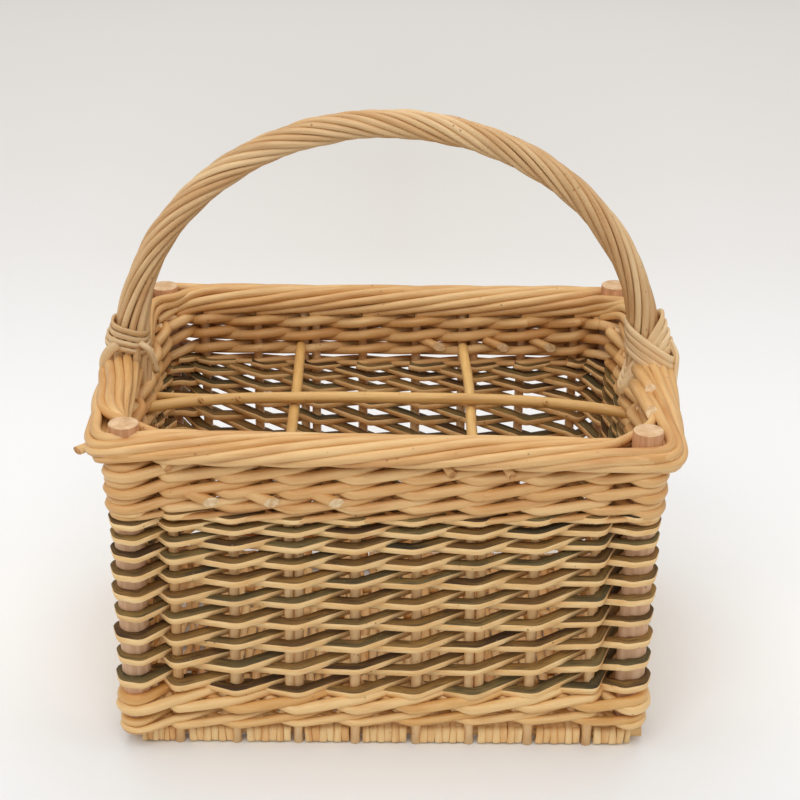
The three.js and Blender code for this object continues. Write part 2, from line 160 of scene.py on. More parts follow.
def streaks(recipe, along, round_it, seed, stretch, fine):
    """Grain that runs along a rod, told apart from rod to rod by the seed."""
    sockets = {0: along * stretch, 1: round_it * fine, 2: seed * 40.0}
    place = recipe.value("ShaderNodeCombineXYZ", {}, sockets)
    return recipe.value("ShaderNodeTexNoise", {}, {"Vector": place, "Scale": 1.0, "Detail": 3.0})


def specks(recipe, scale, low, high):
    """Small freckles, such as the old bud scars of the rods."""
    place = recipe.value("ShaderNodeTexCoord", {}, {}, "Object")
    cells = recipe.value("ShaderNodeTexVoronoi", {}, {"Vector": place, "Scale": scale})
    sockets = {"Vector": place, "Scale": scale * 0.37, "Detail": 1.0}
    patches = recipe.value("ShaderNodeTexNoise", {}, sockets)
    return (1.0 - cells.spread(0.05, 0.16)) * patches.spread(low, high)


BUD_SCAR_BROWN = "6a4422"


def buff_rods(name, light, dark, brown):
    """Boiled and peeled willow: pale tan rods with long brown streaks."""
    recipe = Recipe(name, roughness=0.5, coat=0.12)
    along, round_it, first, second, _ = rod_places(recipe)
    grain = streaks(recipe, along, round_it, first, stretch=55.0, fine=9.0)
    broad = streaks(recipe, along, round_it, second, stretch=14.0, fine=1.5)
    tone = first * 0.55 + grain.spread(0.3, 0.7) * 0.4 + broad.spread(0.3, 0.7) * 0.3
    colour = recipe.blend(tone, linear(light), linear(dark))
    warm = broad.spread(0.5, 0.72) * second * 0.7
    colour = recipe.blend(warm, colour, linear(brown))
    scars = specks(recipe, scale=150.0, low=0.53, high=0.64)
    colour = recipe.blend(scars * 0.7, colour, linear(BUD_SCAR_BROWN))
    recipe.colour(colour)
    recipe.bump(grain, strength=0.3, distance=0.0008)
    return recipe.material


# Where the bark lies round a cleft rod, and half its width, as shares of a whole turn
MIDDLE_OF_BARK = 0.25
HALF_OF_BARK = 0.245


def cleft_rods(name):
    """Cleft willow: bark on the upper side, pale split faces below it."""
    recipe = Recipe(name, roughness=0.7)
    recipe.shader.inputs["Specular IOR Level"].default_value = 0.25
    along, round_it, first, second, third = rod_places(recipe)
    grain = streaks(recipe, along, round_it, first, stretch=70.0, fine=14.0)
    broad = streaks(recipe, along, round_it, second, stretch=26.0, fine=2.5)
    green = recipe.blend(first, linear("7a6b46"), linear("332e22"))
    brown = recipe.blend(third, linear("93703f"), linear("493320"))
    bark = recipe.blend((second * 1.7 - 0.4).spread(0.2, 0.8), green, brown)
    bark = recipe.blend(broad.spread(0.42, 0.75) * 0.6, bark, linear("ad8849"))
    bark = recipe.blend(grain.spread(0.48, 0.7) * 0.65, bark, linear("2b261f"))
    freckles = specks(recipe, scale=260.0, low=0.42, high=0.6)
    bark = recipe.blend(freckles * 0.6, bark, linear("b49a6a"))
    pale = recipe.blend(grain.spread(0.25, 0.75), linear("fddda6"), linear("eab978"))
    pale = recipe.blend(broad.spread(0.5, 0.8) * third * 0.8, pale, linear("ba8244"))
    scars = specks(recipe, scale=170.0, low=0.52, high=0.62)
    pale = recipe.blend(scars * 0.8, pale, linear("5a3f26"))
    # Bark covers the upper half of the section, up to an edge that the grain makes ragged
    edge = round_it.away_from(MIDDLE_OF_BARK) + (grain - 0.5) * 0.035
    recipe.colour(recipe.blend(edge > HALF_OF_BARK, bark, pale))
    recipe.bump(grain, strength=0.4, distance=0.0009)
    return recipe.material


def cut_ends(name, light, dark, grain_scale):
    """Sawn or cut end grain."""
    recipe = Recipe(name, roughness=0.75)
    place = recipe.value("ShaderNodeTexCoord", {}, {}, "Object")
    grain = recipe.value("ShaderNodeTexNoise", {}, {"Vector": place, "Scale": grain_scale, "Detail": 4.0})
    recipe.colour(recipe.blend(grain.spread(0.35, 0.65), linear(light), linear(dark)))
    recipe.bump(grain, strength=0.2, distance=0.0004)
    return recipe.material


def peeled_post(name):
    """Thick peeled stick: fine grain up and down, with few knots, and browner where it stands free."""
    recipe = Recipe(name, roughness=0.62)
    place = recipe.value("ShaderNodeTexCoord", {}, {}, "Object")
    stretched = recipe.value("ShaderNodeMapping", {}, {"Vector": place, "Scale": (260.0, 260.0, 18.0)})
    grain = recipe.value("ShaderNodeTexNoise", {}, {"Vector": stretched, "Scale": 1.0, "Detail": 4.0})
    split = recipe.node("ShaderNodeSeparateXYZ", {}, {0: place})
    height = Wire(recipe, split.outputs[2])
    colour = recipe.blend(grain.spread(0.3, 0.7), linear("eac4a0"), linear("cc9c75"))
    # Darker and browner from about the border's foot up
    upper_colour = recipe.blend(grain.spread(0.3, 0.7), linear("d9a478"), linear("b27a50"))
    colour = recipe.blend(height.spread(0.2, 0.215), colour, upper_colour)
    knots = specks(recipe, scale=120.0, low=0.5, high=0.6)
    recipe.colour(recipe.blend(knots * 0.6, colour, linear("6e4a30")))
    recipe.bump(grain, strength=0.3, distance=0.0006)
    return recipe.material


def pale_table(name):
    """Matt table: nearly white, with painted shade in a warmer, greyer band behind the basket, and painted
    light and shade in small tone steps from front to back.
    """
    recipe = Recipe(name, roughness=0.95)
    recipe.shader.inputs["Specular IOR Level"].default_value = 0.05
    place = recipe.value("ShaderNodeTexCoord", {}, {}, "Object")
    split = recipe.node("ShaderNodeSeparateXYZ", {}, {0: place})
    across, away = (Wire(recipe, split.outputs[i]) for i in (0, 1))
    # Painted shade: a band on the table behind the basket, deepest towards the middle
    behind = away.spread(0.35, 0.8) * (1.0 - away.spread(1.1, 1.8))
    middle = 1.0 - across.away_from(0.0).spread(0.0, 0.35)
    # Painted light and shade: the tone steps from front to back to even out the lamps' fall across the
    # table
    tone = recipe.blend(away.spread(-0.2, -0.08), linear("f0f3f6"), linear("f7fafc"))
    tone = recipe.blend(away.spread(0.1, 0.3), tone, linear("f6f8fa"))
    tone = recipe.blend(away.spread(0.8, 1.7), tone, linear("fffefc"))
    # The painted shade band is blended towards a warm grey
    recipe.colour(recipe.blend(behind * (middle * 0.3 + 0.3), tone, linear("e2dcd4")))
    # Seen straight on, the table is a little paler than its light makes it
    seen = recipe.value("ShaderNodeLightPath", {}, {}, "Is Camera Ray")
    glow = recipe.blend(seen * away.spread(-0.14, 0.0), (0, 0, 0, 1), (0.05, 0.045, 0.04, 1))
    recipe.feed(recipe.shader.inputs["Emission Color"], glow)
    recipe.shader.inputs["Emission Strength"].default_value = 1.0
    return recipe.material


buff = buff_rods("buff willow", "f8d69c", "dba862", "b97530")
base_buff = buff_rods("base willow", "ffe3aa", "efbc79", "c6843f")
border_buff = buff_rods("border willow", "eeca91", "d39e5d", "b5743a")
handle_buff = buff_rods("handle willow", "ebcd9e", "c89b66", "a37340")
left_binding_buff = buff_rods("left binding willow", "ead0a5", "caa26e", "a67946")
right_binding_buff = buff_rods("right binding willow", "fce4ba", "e0ba86", "b98c56")
stake_buff = buff_rods("stake willow", "ffdfae", "edbd80", "c08a55")
divider_buff = buff_rods("divider willow", "efc680", "d3a25c", "a8743a")
cleft = cleft_rods("cleft bark willow")
post_wood = peeled_post("peeled post")
post_top = cut_ends("sawn post tops", "e3c19a", "cda378", 160.0)
fresh_cut = cut_ends("fresh cut ends", "efd7ae", "d6ae7e", 300.0)
weathered_cut = cut_ends("weathered cut ends", "d9a468", "a06a3a", 300.0)
bow_wood = cut_ends("bow wood", "c9ad7c", "a98756", 60.0)


# Uprights in order round the wall, anticlockwise from above, from the front left post

def middle_of(node):
    low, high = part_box(node)
    return (low + high) / 2 / MM


class Upright:
    """A post, a stake or a leg of the handle's bow, seen from above."""

    def __init__(self, kind, x, y, outward, radius):
        self.kind = kind
        self.centre = Vector((x, y))
        self.outward = outward
        self.tangent = Vector((-outward.y, outward.x))
        self.radius = radius
        self.on_side = bool(outward.x) and kind != "post"


POST_RADIUS = 9.5
STAKE_RADIUS = 3.6
BOW_RADIUS = 5.0
WALLS = {
    "front": (Vector((0, -1)), "front_left", 8),
    "right": (Vector((1, 0)), "front_right", 4),
    "back": (Vector((0, 1)), "back_right", 8),
    "left": (Vector((-1, 0)), "back_left", 4),
}
HALF_LENGTH = middle_of("corner_post_back_right").x
HALF_WIDTH = middle_of("corner_post_back_right").y
uprights = []
for wall, (outward, corner, stakes) in WALLS.items():
    post = middle_of(f"corner_post_{corner}")
    slanting = Vector((math.copysign(1, post.x), math.copysign(1, post.y))).normalized()
    uprights.append(Upright("post", post.x, post.y, slanting, POST_RADIUS))
    for number in range(1, stakes + 1):
        stake = middle_of(f"stake_{wall}_{number}")
        if outward.x and number == stakes // 2 + 1:
            uprights.append(Upright("bow", outward.x * HALF_LENGTH, 0, outward, BOW_RADIUS))
        uprights.append(Upright("stake", stake.x, stake.y, outward, STAKE_RADIUS))
ROUND = len(uprights)


def upright(number):
    return uprights[number % ROUND]


RIGHT_LEAN = 2.6
RIM_HEIGHT = 230.0
END_BULGE = 5.0


def leaned(x, y, z):
    """A place on the basket, moved by the bulge of its end walls and the lean of the right one."""
    height = max(0.0, z / RIM_HEIGHT)
    if abs(x) > HALF_LENGTH - 2 * POST_RADIUS:
        x += math.copysign(END_BULGE, x) * max(0.0, 1 - (y / HALF_WIDTH) ** 2) * height ** 0.5
    if x > HALF_LENGTH - 2 * POST_RADIUS:
        x -= RIGHT_LEAN * (1 - height)
    return Vector((x, y, z))


# A long wall sags evenly along its middle, and an end wall half as far
SAG_POWER = 3.6
END_WALL_HANG = 0.5


def hang(number):
    """Share of the sag at an upright: none at the posts and all of it along a long wall's middle."""
    here = upright(number)
    if here.kind == "post":
        return 0.0
    if here.on_side:
        return END_WALL_HANG * (1 - abs(here.centre.y / HALF_WIDTH) ** SAG_POWER)
    return 1 - abs(here.centre.x / HALF_LENGTH) ** SAG_POWER


# Routes of weavers between the uprights

# Inside a post the weavers cut across the corner, and inside the end walls they are beaten close
CORNER_CUT = 1.4
END_WALL_PRESS = 2.0
# Outside a post they pass at these angles to its outward direction, and stand off more at the middle one
POST_TURNS = (-50, 0, 50)
POST_STAND_SHARE = 1.04


def passing(number, side, half_depth, slides, press=0.0):
    """Points of a weaver on the outer (+1) or inner (-1) side of one upright, in plan.

    At the end walls the weavers are pulled against the corner posts by the length press."""
    here = upright(number)
    reach = side * (here.radius + half_depth)
    if here.kind == "post" and side > 0:
        points = []
        for turn in POST_TURNS:
            direction = here.outward.copy()
            direction.rotate(Matrix.Rotation(math.radians(turn), 2))
            spot = here.centre + direction * reach * (1.0 if turn else POST_STAND_SHARE)
            spot.x -= press if spot.x > 0 else -press
            points.append(spot)
        return points
    if here.kind == "post":
        reach *= CORNER_CUT
    elif here.on_side and side < 0:
        reach += END_WALL_PRESS
    return [here.centre + here.outward * reach + here.tangent * slide for slide in slides]


def bend_at_points(points, radius):
    """An open route with straight stretches and a short bend at each of its points."""
    route = [points[0]]
    for before, here, after in zip(points, points[1:], points[2:]):
        start = here.lerp(before, min(0.45, radius / (before - here).length))
        end = here.lerp(after, min(0.45, radius / (after - here).length))
        for share in (0.0, 0.35, 0.65, 1.0):
            route.append(start.lerp(here, share).lerp(here.lerp(end, share), share))
    route.append(points[-1])
    return route


def soften(points, rounds):
    """Cuts the corners of an open route again and again, keeping its ends."""
    for _ in range(rounds):
        cut = [points[0]]
        for before, after in zip(points, points[1:]):
            cut.append(before.lerp(after, 0.25))
            cut.append(before.lerp(after, 0.75))
        cut.append(points[-1])
        points = cut
    return points


def smooth_through(points, steps):
    """A curve through the points, with steps samples to a span."""
    padded = [points[0] * 2 - points[1], *points, points[-1] * 2 - points[-2]]
    out = []
    for i in range(1, len(padded) - 2):
        p0, p1, p2, p3 = padded[i - 1:i + 3]
        for k in range(steps):
            t = k / steps
            out.append(0.5 * ((2 * p1) + (p2 - p0) * t + (2 * p0 - 5 * p1 + 4 * p2 - p3) * t * t
                              + (3 * p1 - p0 - 3 * p2 + p3) * t * t * t))
    out.append(points[-1])
    return out


# Section shapes as shares of the half depth (outwards) and the half height (up)
ROUND_SECTION = [(math.cos(k * math.tau / 8), math.sin(k * math.tau / 8)) for k in range(8)]
CLEFT_SECTION = [(1.0, 0.55), (0.8, 0.92), (0.0, 1.0), (-0.8, 0.92), (-1.0, 0.55),
                 (-0.88, -0.85), (0.0, -1.0), (0.88, -0.85)]
FLAT_SECTION = [(1.0, 0.0), (0.9, 0.8), (0.0, 1.0), (-0.9, 0.8), (-1.0, 0.0), (-0.9, -0.8), (0.0, -1.0),
                (0.9, -0.8)]


class Rods:
    """Many rods in one mesh, each a section carried along its route."""

    def __init__(self):
        self.points = []
        self.faces = []
        self.uvs = []
        self.chances = []
        self.slots = []
        self.count = 0

    def sideways(self, along, upwards):
        """The outward direction of the section at each sample of a route."""
        if upwards is not None:
            across = np.cross(along, np.array(tuple(upwards)))
            return across / np.linalg.norm(across, axis=1)[:, None]
        across = np.zeros_like(along)
        start = np.cross(along[0], (0.31, 0.87, 0.39))
        across[0] = start / np.linalg.norm(start)
        for i in range(1, len(along)):
            carried = across[i - 1] - along[i] * np.dot(across[i - 1], along[i])
            across[i] = carried / np.linalg.norm(carried)
        return across

    def add(self, route, half_depths, half_heights, section=ROUND_SECTION, upwards=UP):
        path = np.array([tuple(p) for p in route])
        count = len(path)
        sides = len(section)
        along = np.gradient(path, axis=0)
        along /= np.linalg.norm(along, axis=1)[:, None]
        across = self.sideways(along, upwards)
        rise = np.cross(across, along)
        share = np.linspace(0, 1, count)
        depths = np.interp(share, np.linspace(0, 1, len(half_depths)), half_depths)
        heights = np.interp(share, np.linspace(0, 1, len(half_heights)), half_heights)
        shape = np.array(section)
        rings = (path[:, None, :]
                 + across[:, None, :] * shape[None, :, 0:1] * depths[:, None, None]
                 + rise[:, None, :] * shape[None, :, 1:2] * heights[:, None, None])
        self.points.append(rings.reshape(-1, 3))
        steps = np.linalg.norm(np.diff(path, axis=0), axis=1)
        travelled = np.concatenate([[0.0], np.cumsum(steps)]) * MM + luck.random()
        first = self.count
        for i in range(count - 1):
            for k in range(sides):
                after = (k + 1) % sides
                a, b = first + i * sides, first + (i + 1) * sides
                self.faces.append((a + k, a + after, b + after, b + k))
                low, high = k / sides, (k + 1) / sides
                self.uvs += [(travelled[i], low), (travelled[i], high),
                             (travelled[i + 1], high), (travelled[i + 1], low)]
                self.slots.append(0)
        last = first + (count - 1) * sides
        self.faces.append(tuple(first + k for k in reversed(range(sides))))
        self.faces.append(tuple(last + k for k in range(sides)))
        self.uvs += [(0.0, 0.0)] * (2 * sides)
        self.slots += [1, 1]
        chance = (luck.random(), luck.random(), luck.random(), 1.0)
        self.chances += [chance] * (count * sides)
        self.count += count * sides

    def cut_last_end(self, along, tip, facing):
        """Cuts the newest rod's end through its tip, square to the facing direction."""
        ring = self.points[-1][-len(ROUND_SECTION):]
        lengths = (ring - np.array(tuple(tip))) @ np.array(tuple(facing)) / along.dot(facing)
        ring -= lengths[:, None] * np.array(tuple(along))

    def build(self, name, material, end_material):
        mesh = bpy.data.meshes.new(name)
        points = np.concatenate(self.points) * MM
        mesh.from_pydata([tuple(p) for p in points], [], self.faces)
        layer = mesh.uv_layers.new(name="rod")
        layer.data.foreach_set("uv", np.array(self.uvs, dtype=np.float32).ravel())
        colours = mesh.attributes.new("chance", "FLOAT_COLOR", "POINT")
        colours.data.foreach_set("color", np.array(self.chances, dtype=np.float32).ravel())
        mesh.materials.append(material)
        mesh.materials.append(end_material)
        mesh.polygons.foreach_set("material_index", self.slots)
        mesh.polygons.foreach_set("use_smooth", [slot == 0 for slot in self.slots])
        mesh.update()
        piece = bpy.data.objects.new(name, mesh)
        bpy.context.scene.collection.objects.link(piece)
        return piece


def keep(piece, slot, *nodes):
    """Ties a piece to the basket's body, in the place of the frame's nodes that it shows."""
    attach(piece, "root")
    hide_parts(*nodes)
    return piece


# Siding: each cleft rod goes before one upright and behind the next, and rises as it goes round

SIDING_ROWS = 10
SIDING_FOOT = 52.4
SIDING_PITCHES = [16.4 - 0.12 * row * row for row in range(SIDING_ROWS)]
siding_levels = [SIDING_FOOT + sum(SIDING_PITCHES[:row]) for row in range(SIDING_ROWS + 1)]
# How far the rows sag along a long wall, and how much more the lowest one, which is halved row by row
SIDING_SAG = 7.0
SIDING_FOOT_SAG = 3.3
SIDING_PRESS = 3.6
# Where a rod's points lie along the wall, from an upright's middle, before it and behind it
BEFORE_SLIDES = (-1.6, 2.2)
BEHIND_SLIDES = (-4.6, 4.6)
# A rod hardly rises before an upright. Its foot starts under the lowest row, by these shares of the pitch.
BEFORE_RISES = (-0.1, 0.2)
START_SHARES = (-0.5, -0.25)
# Shares of a row's pitch that a rod has risen where it comes behind an upright and where it leaves
ARRIVE_SHARE = 0.26
LEAVE_SHARE = 0.6
# Half depths and half heights of a cleft rod at its foot, its middle and its tip
CLEFT_DEPTHS = (4.0, 3.8, 3.3)
CLEFT_HEIGHTS = (3.3, 3.0, 2.5)
# How far the middle of a rod lies off an upright's side: at its foot, and how much less at its tip
CLEFT_STAND = 3.8
CLEFT_STAND_DROP = 0.7
CLEFT_BEND = 2.0
# Least and greatest share of the usual thickness, and how far points are scattered up and down
CLEFT_BULKS = (0.9, 1.08)
SIDING_SCATTER = 0.3


def siding_points(number, row, before, half_depth):
    """A siding rod's points at one upright, in the row that it is in there."""
    level = siding_levels[max(row, 0)]
    if row < 0:
        rises = [SIDING_PITCHES[0] * share for share in START_SHARES]
    elif before:
        rises = BEFORE_RISES
    else:
        rises = (SIDING_PITCHES[row] * ARRIVE_SHARE, SIDING_PITCHES[row] * LEAVE_SHARE)
    slides = BEFORE_SLIDES if before else BEHIND_SLIDES
    spots = passing(number, 1 if before else -1, half_depth, slides, SIDING_PRESS)
    droop = hang(number) * (SIDING_SAG + SIDING_FOOT_SAG * 0.5 ** max(row, 0))
    points = []
    for i, spot in enumerate(spots):
        rise = rises[0] + (rises[1] - rises[0]) * i / (len(spots) - 1)
        points.append(leaned(spot.x, spot.y, level + rise - droop + scattered(SIDING_SCATTER)))
    return points


siding = Rods()
for start in range(ROUND):
    points = []
    bulk = luck.uniform(*CLEFT_BULKS)
    for step in range(-1, 2 * SIDING_ROWS):
        half_depth = CLEFT_STAND - CLEFT_STAND_DROP * max(0, step) / (2 * SIDING_ROWS)
        points += siding_points(start + step, step // 2, step % 2 == 0, half_depth * bulk)
    half_depths = [depth * bulk for depth in CLEFT_DEPTHS]
    half_heights = [height * bulk for height in CLEFT_HEIGHTS]
    siding.add(bend_at_points(points, CLEFT_BEND), half_depths, half_heights, CLEFT_SECTION)
keep(siding.build("siding_rods", cleft, weathered_cut), "cleft_bark_willow",
     *[f"siding_row_{row}" for row in range(1, SIDING_ROWS + 1)])


# Waling: three rods follow each other, before two uprights and behind one

WALE_SLIDES = (-4.0, 4.0)
WALE_PRESS = 2.4
# At the first and second upright it passes outside, and at the third one behind it: the height as a share
# of the strand, how much the rod climbs there, and how far it stands off
WALE_HEIGHTS = (-0.5, 0.5, 0.8)
WALE_CLIMBS = (0.02, 0.16, -0.16)
WALE_STANDS = (0.9, -0.4, 0.0)
WALE_FLATNESS = 0.93
WALE_BULKS = (0.93, 1.05)
WALE_SCATTER = 0.4


def wale_round(rods, level, middle_level, strand, radius, first, tilt=0.0):
    """One round of three rods, at one level by the posts and another along the middle of a wall."""
    for rod in range(3):
        points = []
        bulk = luck.uniform(*WALE_BULKS)
        for step in range(-1, ROUND + 1):
            number = first + rod + step
            turn = step % 3
            here_level = level + (middle_level - level) * hang(number)
            height = here_level + WALE_HEIGHTS[turn] * strand + tilt * upright(number).centre.x
            climb = WALE_CLIMBS[turn] * strand
            side = -1 if turn == 2 else 1
            spots = passing(number, side, radius * bulk + WALE_STANDS[turn], WALE_SLIDES, WALE_PRESS)
            for i, spot in enumerate(spots):
                lean = 2 * i / (len(spots) - 1) - 1
                points.append(leaned(spot.x, spot.y, height + lean * climb + scattered(WALE_SCATTER)))
        rods.add(soften(points, rounds=3), [radius * bulk], [radius * bulk * WALE_FLATNESS])


BUTT_TAPER_SHARE = 0.94


def butt_end(rods, tip, reach, radius, facing):
    """The thick end of a rod beside a stake, cut off slantwise so that the cut faces outwards."""
    tip = Vector(tip)
    reach = Vector(reach)
    radii = [radius * BUTT_TAPER_SHARE, radius]
    rods.add([tip - reach, tip - reach * 0.66, tip - reach * 0.33, tip], radii, radii, upwards=None)
    rods.cut_last_end(reach.normalized(), tip, Vector(facing).normalized())


# Each round: height at the corners and along the middle of a wall, strand, rod radius, and the upright
# beside which its first rod starts
UPPER_ROUNDS = [(203.6, 201.6, 5.7, 4.0, 16), (192.3, 191.0, 5.8, 4.0, 6), (180.6, 180.4, 5.2, 3.6, 22),
                (173.6, 170.6, 3.6, 2.3, 11)]
# The lower rounds have a sixth number, their rise to the right for each millimetre along the basket
LOWER_ROUNDS = [(21.0, 22.6, 5.0, 3.0, 20, 0.022), (36.4, 34.2, 6.6, 4.0, 11, 0.012)]
FRONT_BUTT_TIPS = [(-107.5, -128.0, 184.0), (-70.0, -128.0, 184.0), (-30.0, -128.0, 184.0)]
BACK_BUTT_TIPS = [(36.0, 105.5, 188.0), (82.1, 105.5, 188.0), (115.9, 105.5, 188.0)]

upper_wale = Rods()
for wale in UPPER_ROUNDS:
    wale_round(upper_wale, *wale)
for tip in FRONT_BUTT_TIPS:
    butt_end(upper_wale, tip, reach=(17.0, -4.5, -5.5), radius=3.8, facing=(0.5, -1.0, -0.25))
for tip in BACK_BUTT_TIPS:
    butt_end(upper_wale, tip, reach=(14.0, -5.0, -4.5), radius=3.1, facing=(0.4, -1.0, 0.1))
keep(upper_wale.build("upper_wale_rods", border_buff, fresh_cut), "buff_willow",
     *[f"upper_wale_{row}" for row in range(1, 5)])

lower_wale = Rods()
for wale in LOWER_ROUNDS:
    wale_round(lower_wale, *wale)
keep(lower_wale.build("lower_wale_rods", buff, fresh_cut), "buff_willow",
     *[f"lower_wale_{row}" for row in range(1, 5)])


# Border: every stake's rod turns down, runs outside past several stakes and rolls over to the inside

BORDER_FOOT = 205.6
FRONT_TILT = 0.011
BACK_LIFT = 3.0
BORDER_RADII = (2.9, 3.4, 3.3, 2.7)
BORDER_BULKS = (0.92, 1.05)
BORDER_SCATTER = 0.5
# Steps of one rod, an upright apart: how far outwards, and up from the border's foot
LONG_WALL_STEPS = [(-1.0, 1.0), (12.8, 6.0), (14.4, 10.8), (11.2, 15.0), (5.2, 17.4), (-1.4, 16.6),
                   (-6.2, 12.6), (-6.2, 7.2), (-4.0, 2.6)]
# The stakes' bent heads in the middle of the border: a step like these, how much further out they lie at an
# end wall's stakes, their radius, and the share of the back's lift that they follow
HEADS_STEP = (3.6, 8.6)
HEADS_SIDE_REACH = 5.0
HEADS_RADIUS = 4.6
HEADS_LIFT_SHARE = 0.6
SIDE_WALL_STEPS = [(2.0, 1.0), (19.0, 6.0), (24.2, 11.4), (21.4, 16.6), (16.4, 19.8), (11.0, 20.8),
                   (6.0, 18.6), (3.4, 12.6), (3.6, 5.6)]
POST_STEPS = [(-13.0, 1.0), (16.8, 4.8), (19.0, 9.4), (16.8, 13.6), (12.8, 17.2), (-13.0, 16.8),
              (-13.6, 12.4), (-13.0, 7.6), (-13.0, 3.0)]
# Steps at an end wall are longer in its middle, and those past a post are drawn out along the basket
MIDDLE_STRETCH = 1.12
STRETCH_DROP = 0.22
POST_DRAW = Vector((0.93, 0.5))
# Two rods hug the outer side of each post, one beside the other: reach along and across the basket, and
# radius. Both run on along the end wall.
POST_RODS = [(12.7, 12.7, 3.4), (18.6, 12.7, 4.0)]
POST_ROD_TURNS = range(-75, 76, 25)
POST_ROD_RISE = 11.0
POST_ROD_RUN = 34.0
# Cut ends that stick out below the border's front, and one at its left front corner
FRONT_CUT_TIPS = [(-133.0, -128.5, 207.0), (41.0, -128.5, 204.4), (78.0, -128.5, 203.6)]
CORNER_CUT_TIP = (-190.5, -114.5, 212.0)
# Two thick butts on the border beside the handle's right foot: tip, reach and radius
THICK_BUTTS = [((166.8, -84.0, 226.5), (7.6, -42.0, -1.0), 4.2),
               ((169.4, -52.0, 227.5), (6.4, -32.0, -1.0), 4.0)]


def border_spot(number, step):
    """Where a border rod lies at an upright, which is so many steps after the rod's own."""
    here = upright(number)
    if here.kind == "post":
        outwards, rise = POST_STEPS[step]
        drawn = here.outward
        if outwards > 0:
            drawn = Vector((math.copysign(POST_DRAW.x, drawn.x), math.copysign(POST_DRAW.y, drawn.y)))
        spot = here.centre + drawn * outwards
    elif here.on_side:
        outwards, rise = SIDE_WALL_STEPS[step]
        outwards *= MIDDLE_STRETCH - STRETCH_DROP * abs(here.centre.y / HALF_WIDTH)
        spot = here.centre + here.outward * outwards
    else:
        outwards, rise = LONG_WALL_STEPS[step]
        spot = here.centre + here.outward * outwards
    # The front of the border drops a little to the right, and the back lies a little higher
    lift = BACK_LIFT * (1 + spot.y / HALF_WIDTH) / 2 - FRONT_TILT * spot.x * (spot.y < 0)
    return Vector((spot.x, spot.y, BORDER_FOOT + rise + lift + scattered(BORDER_SCATTER)))


def heads_spot(number):
    """Where the stakes' bent heads lie at an upright."""
    here = upright(number)
    away = HEADS_STEP[0]
    if here.kind != "stake":
        away += here.radius
    elif here.on_side:
        away += HEADS_SIDE_REACH
    spot = here.centre + here.outward * away
    lift = BACK_LIFT * (spot.y > 0) * HEADS_LIFT_SHARE
    return Vector((spot.x, spot.y, BORDER_FOOT + HEADS_STEP[1] + lift))


border = Rods()
for start in range(ROUND):
    points = [border_spot(start + step, step) for step in range(len(LONG_WALL_STEPS))]
    bulk = luck.uniform(*BORDER_BULKS)
    radii = [radius * bulk for radius in BORDER_RADII]
    border.add(smooth_through(points, 8), radii, radii)
heads = [heads_spot(number) for number in range(ROUND + 1)]
border.add(smooth_through(heads, 6), [HEADS_RADIUS], [HEADS_RADIUS])
for along, across, radius in POST_RODS:
    for here in uprights:
        if here.kind != "post":
            continue
        spots = []
        for turn in POST_ROD_TURNS:
            direction = here.outward.copy()
            direction.rotate(Matrix.Rotation(math.radians(turn), 2))
            spots.append(Vector((here.centre.x + direction.x * along, here.centre.y + direction.y * across,
                                 BORDER_FOOT + POST_ROD_RISE)))
        if here.outward.x * here.outward.y > 0:
            spots.reverse()
        beside = spots[-1] - Vector((0.0, math.copysign(POST_ROD_RUN, here.centre.y), 0.0))
        border.add(smooth_through([*spots, beside], 4), [radius], [radius])
for tip in FRONT_CUT_TIPS:
    butt_end(border, tip, reach=(7.0, -5.5, -8.0), radius=2.7, facing=(0.5, -1.0, -0.3))
butt_end(border, CORNER_CUT_TIP, reach=(-11.0, -2.0, -4.0), radius=3.0, facing=(-0.8, -0.9, -0.3))
keep(border.build("border_rods", border_buff, weathered_cut), "buff_willow", "border_outer", "border_inner")

butts = Rods()
for tip, reach, radius in THICK_BUTTS:
    butt_end(butts, tip, reach, radius, facing=(0.15, -1.0, 0.55))
thick_butts = butts.build("border_butts", border_buff, fresh_cut)
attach(thick_butts, "root")


# Handle: a bow roped over with long thin rods

HANDLE_HALF_SPAN = 169.0
HANDLE_SPRING = 235.0
HANDLE_TOP = 387.5
LEG_FOOT = 196.0
# Share of the bow that is the leg at each end
LEG_SHARE = 0.09
ROPING_RODS = 10
ROPING_TURNS = 3.1
# How much slower the roping turns at its feet, and quicker over the top, as a share
TWIST_CHANGE_SHARE = 0.6
ROPING_SAMPLES = 150
ROPING_REACH = 7.1
ROPING_ROD_RADIUS = 2.3
# How far apart, as a share of the bow, two places are that give its direction
NEXT_SHARE = 0.004


def bow_point(share):
    """A point of the handle's middle line, from the left foot (0) to the right foot (1)."""
    if share > 0.5:
        mirrored = bow_point(1 - share)
        return Vector((-mirrored.x, 0, mirrored.z))
    if share < LEG_SHARE:
        t = share / LEG_SHARE
        x = HALF_LENGTH + (HANDLE_HALF_SPAN - HALF_LENGTH) * (t * t * (3 - 2 * t))
        return Vector((-x, 0, LEG_FOOT + (HANDLE_SPRING - LEG_FOOT) * t))
    angle = math.pi * (1 - (share - LEG_SHARE) / (1 - 2 * LEG_SHARE))
    return Vector((HANDLE_HALF_SPAN * math.cos(angle), 0,
                   HANDLE_SPRING + (HANDLE_TOP - HANDLE_SPRING) * math.sin(angle)))


def twist(share):
    """Turns of the roping at a place along the bow: slow at the feet, quicker over the top."""
    return ROPING_TURNS * (share - TWIST_CHANGE_SHARE * math.sin(2 * math.pi * share) / (2 * math.pi))


FLARE_SHARE = 0.18
FOOT_SHARE = 0.1
LEFT_FLARE = 1.2
RIGHT_FLARE = 0.7
FLARE_POWER = 1.53
# The rods themselves thicken less than the whole roping spreads
ROD_FLARE_POWER = 0.6
FLARE_STEPS = 20


